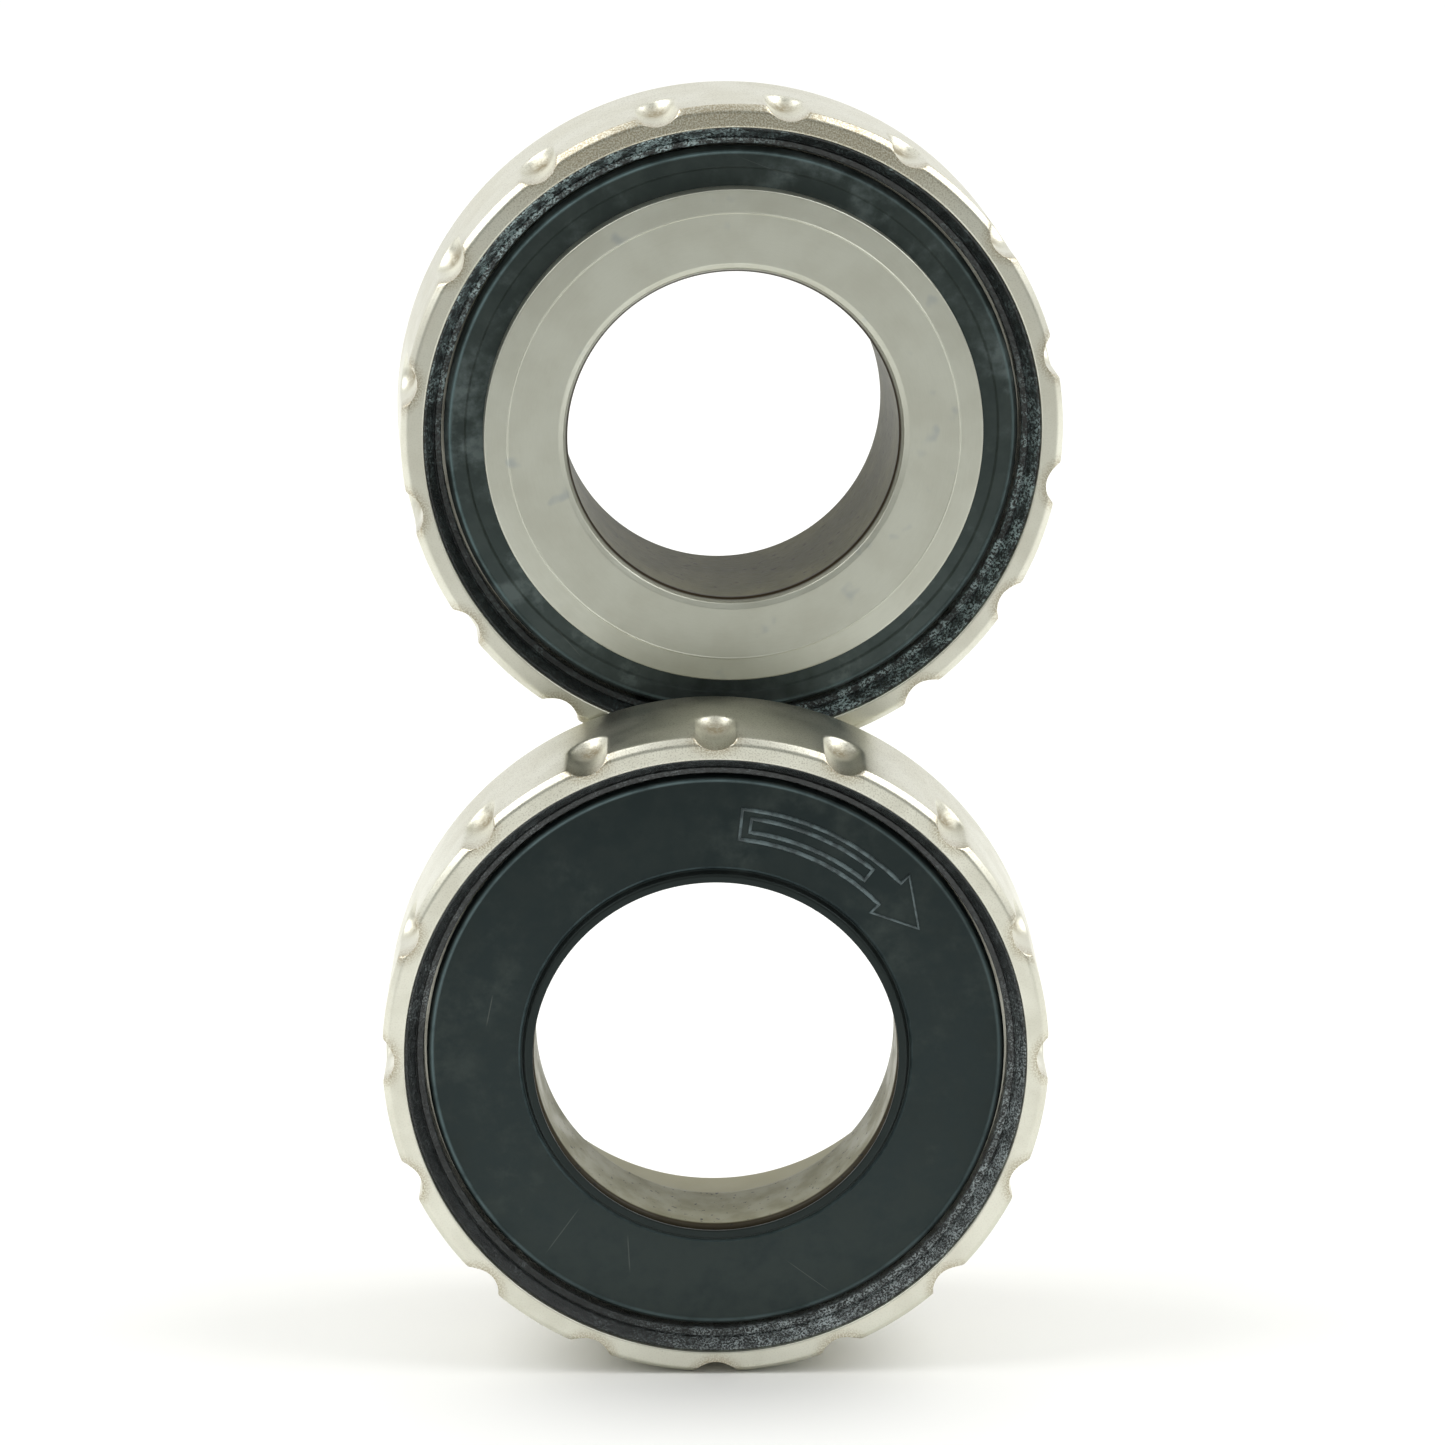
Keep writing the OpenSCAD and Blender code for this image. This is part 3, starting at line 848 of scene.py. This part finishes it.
def greasy_rubber(name, grain, least, upper_share, grease_glint_colour):
    """Black rubber under gritty grease, thickest to the lower right, with pale glints painted on
    its grit. The film's share is least between its clumps and upper_share to the upper left."""
    material, nodes, links, shader = new_material(name)
    where = object_coords(nodes, links)
    grit = noise_texture(nodes, links, where, grain, 3, 0.75)
    patch = noise_texture(nodes, links, where, 0.22, 3)
    right, down, _ = parts_of(nodes, links, where)
    across = maths(nodes, links, "ADD", right, down)
    clump = noise_texture(nodes, links, where, 0.9, 2)
    film = maths(nodes, links, "ADD", ramp(nodes, links, across, 10, 26, 0.12, 0.9),
                 ramp(nodes, links, patch, 0.52, 0.68, 0, 0.3))
    upper = maths(nodes, links, "MULTIPLY", ramp(nodes, links, across, -24, -14, upper_share, 0),
                  ramp(nodes, links, down, -12, -5, 1, 0.25))
    film = maths(nodes, links, "ADD", film, upper)
    thick = maths(nodes, links, "MULTIPLY", film,
                  ramp(nodes, links, clump, 0.36, 0.6, least, 1))
    cover = maths(nodes, links, "ADD", grit, maths(nodes, links, "MULTIPLY", thick, 0.035))
    # Painted highlight: where grit shows through the grease it is painted pale teal as glints.
    painted_glint = maths(nodes, links, "MULTIPLY", ramp(nodes, links, cover, 0.50, 0.60), thick)
    colour = mix_colour(nodes, links, painted_glint, (0.009, 0.011, 0.011), grease_glint_colour)
    links.new(colour, shader.inputs["Base Color"])
    links.new(ramp(nodes, links, grit, 0.3, 0.7, 0.42, 0.2), shader.inputs["Roughness"])
    add_bump(nodes, links, shader, grit, 0.7, 0.06)
    return material


@once
def ring_rubber():
    """The drive side's ring, with painted pale glints on its grit."""
    return greasy_rubber("ring_rubber", 7.5, 0.5, 0.1, (0.42, 0.48, 0.49))


@once
def greasy_ring_rubber():
    """The non-drive side's ring, with more grease and painted glints to the upper left."""
    return greasy_rubber("greasy_ring_rubber", 6.0, 0.25, 1.0, (0.42, 0.54, 0.55))


@once
def seal_rubber():
    """Matte black seal rubber with a faint bloom."""
    material, nodes, links, shader = new_material("seal_rubber", roughness=0.55)
    where = object_coords(nodes, links)
    bloom = noise_texture(nodes, links, where, 0.5, 5)
    colour = mix_colour(nodes, links, ramp(nodes, links, bloom, 0.4, 0.75),
                        (0.016, 0.017, 0.018), (0.05, 0.052, 0.052))
    links.new(colour, shader.inputs["Base Color"])
    add_bump(nodes, links, shader, noise_texture(nodes, links, where, 6.0, 3), 0.2, 0.02)
    return material


SLOT_MATERIALS = {
    "cup_metal": cup_metal, "hat_metal": hat_metal, "bearing_steel": bearing_steel,
    "ball_steel": ball_steel, "cage_steel": cage_steel, "shield_plastic": shield_plastic,
    "ring_rubber": ring_rubber, "seal_rubber": seal_rubber,
}


def paint_cad_nodes():
    """Gives every node that is carried over the material of its slot."""
    for part in frame["record"]["subparts"]:
        node = frame["nodes"][part["node"]]
        node.data.materials.clear()
        node.data.materials.append(SLOT_MATERIALS[part["material_slot"]]())


# ---- stage ---------------------------------------------------------------

def make_camera():
    """Looks down at the stacked cups from in front, a little above."""
    azimuth, elevation, distance = math.radians(-0.54), math.radians(14.85), 0.3617
    face = Vector(MOUNTS["drive_wrench_notches"]["pos_m"])
    target = face + Vector((0.44, 0, 23.04)) * MM
    back = Vector((math.sin(azimuth) * math.cos(elevation),
                   -math.cos(azimuth) * math.cos(elevation), math.sin(elevation)))
    data = bpy.data.cameras.new("camera")
    data.lens = 139.1
    data.sensor_width = 36
    data.clip_start = 0.01
    data.clip_end = 20
    camera = bpy.data.objects.new("camera", data)
    camera.location = target + back * distance
    camera.rotation_mode = "QUATERNION"
    camera.rotation_quaternion = (-back).to_track_quat("-Z", "Y")
    scene.collection.objects.link(camera)
    scene.camera = camera


def make_floor():
    """A pale sheet that the pair stands on; it falls to grey well in front."""
    half_size, gap = 3, 0.00002
    grey_from, pale_from = -265, -150
    bm = bmesh.new()
    bmesh.ops.create_grid(bm, x_segments=2, y_segments=2, size=half_size)
    mesh = bpy.data.meshes.new("floor")
    bm.to_mesh(mesh)
    bm.free()
    floor = bpy.data.objects.new("floor", mesh)
    floor.location = (0, 0, cad_low.z - gap)
    scene.collection.objects.link(floor)
    material, nodes, links, shader = new_material("floor_paper", roughness=0.7)
    y = parts_of(nodes, links, object_coords(nodes, links))[1]
    near = ramp(nodes, links, y, grey_from, pale_from)
    colour = mix_colour(nodes, links, near, (0.34, 0.345, 0.33), (0.92, 0.92, 0.91))
    links.new(colour, shader.inputs["Base Color"])
    mesh.materials.append(material)


def make_world():
    """Even, soft light from all around, dimmer from straight in front."""
    world = bpy.data.worlds.new("studio")
    world.use_nodes = True
    nodes, links = world.node_tree.nodes, world.node_tree.links
    where = nodes.new("ShaderNodeTexCoord")
    y = parts_of(nodes, links, where.outputs["Generated"])[1]
    behind = ramp(nodes, links, y, -0.95, 0.6)
    colour = mix_colour(nodes, links, behind, (0.36, 0.37, 0.35), (0.97, 0.97, 0.95))
    links.new(colour, nodes["Background"].inputs["Color"])
    nodes["Background"].inputs["Strength"].default_value = 1.0
    scene.world = world


def make_softbox(name, place, aim, size, power):
    """A square area light."""
    data = bpy.data.lights.new(name, "AREA")
    data.shape = "SQUARE"
    data.size = size
    data.energy = power
    light = bpy.data.objects.new(name, data)
    light.location = place
    light.rotation_mode = "QUATERNION"
    light.rotation_quaternion = (Vector(aim) - Vector(place)).to_track_quat("-Z", "Y")
    scene.collection.objects.link(light)


scene.view_settings.view_transform = "Standard"
make_camera()
make_floor()
make_world()
for name, x in (("left_softbox", -0.75), ("right_softbox", 0.75)):
    make_softbox(name, place=(x, 0.05, 0.8), aim=(0, 0.02, 0.02), size=0.9, power=6.5)
paint_cad_nodes()
for side in SIDES:
    cup_shell(side)
    seal_ring(side)
    inner_ring(side)
    inboard_seal(side)
drive_shield()
nondrive_shield()
top_hat()
tighten_mark()
